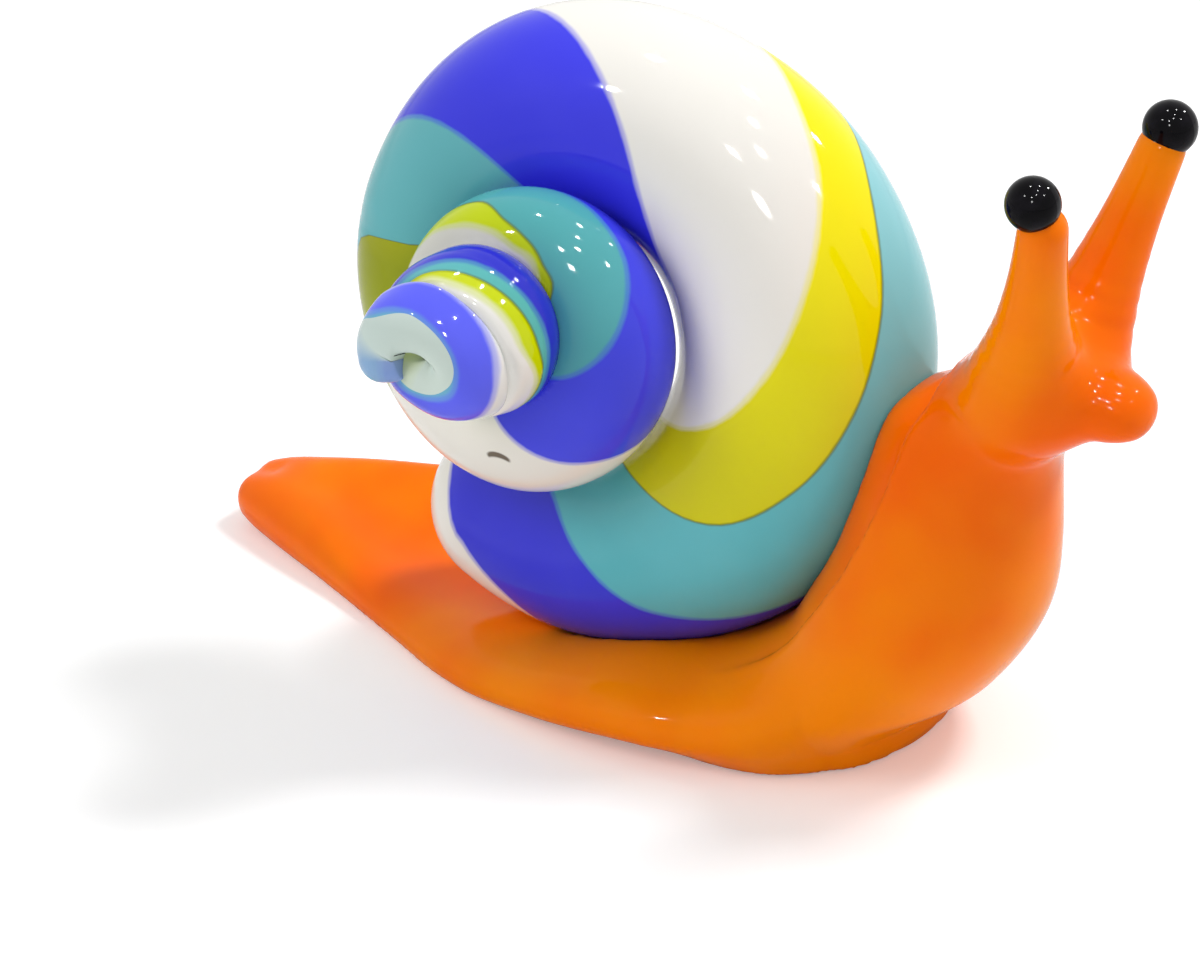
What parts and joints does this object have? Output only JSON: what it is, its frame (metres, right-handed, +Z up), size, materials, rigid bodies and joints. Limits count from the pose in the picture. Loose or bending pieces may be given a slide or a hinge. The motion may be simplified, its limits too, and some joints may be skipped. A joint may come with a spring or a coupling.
{
  "type": "snail figurine",
  "caption": "Hand-worked glass snail: an orange body with tentacles and black eye beads carries a shell wound from one twisted striped cane.",
  "frame": {"origin": "on the table under the middle of the foot", "axes": "+X forward, from the tail to the snout; +Z up; the shell's apex points to -Y"},
  "size_m": [0.0585, 0.0325, 0.0362],
  "materials": {
    "orange_glass": "fire-polished, dense and slightly translucent",
    "black_glass": "fire-polished, opaque",
    "white_glass": "fire-polished, opaque",
    "blue_glass": "fire-polished, opaque",
    "turquoise_glass": "fire-polished, opaque",
    "yellow_glass": "fire-polished, opaque"
  },
  "bodies": {
    "root": {"foot": "orange_glass", "neck": "orange_glass", "head": "orange_glass", "right_tentacle": "orange_glass", "left_tentacle": "orange_glass", "right_eye": "black_glass", "left_eye": "black_glass", "shell_white": "white_glass", "shell_blue": "blue_glass", "shell_turquoise": "turquoise_glass", "shell_yellow": "yellow_glass"}
  },
  "joints": []
}
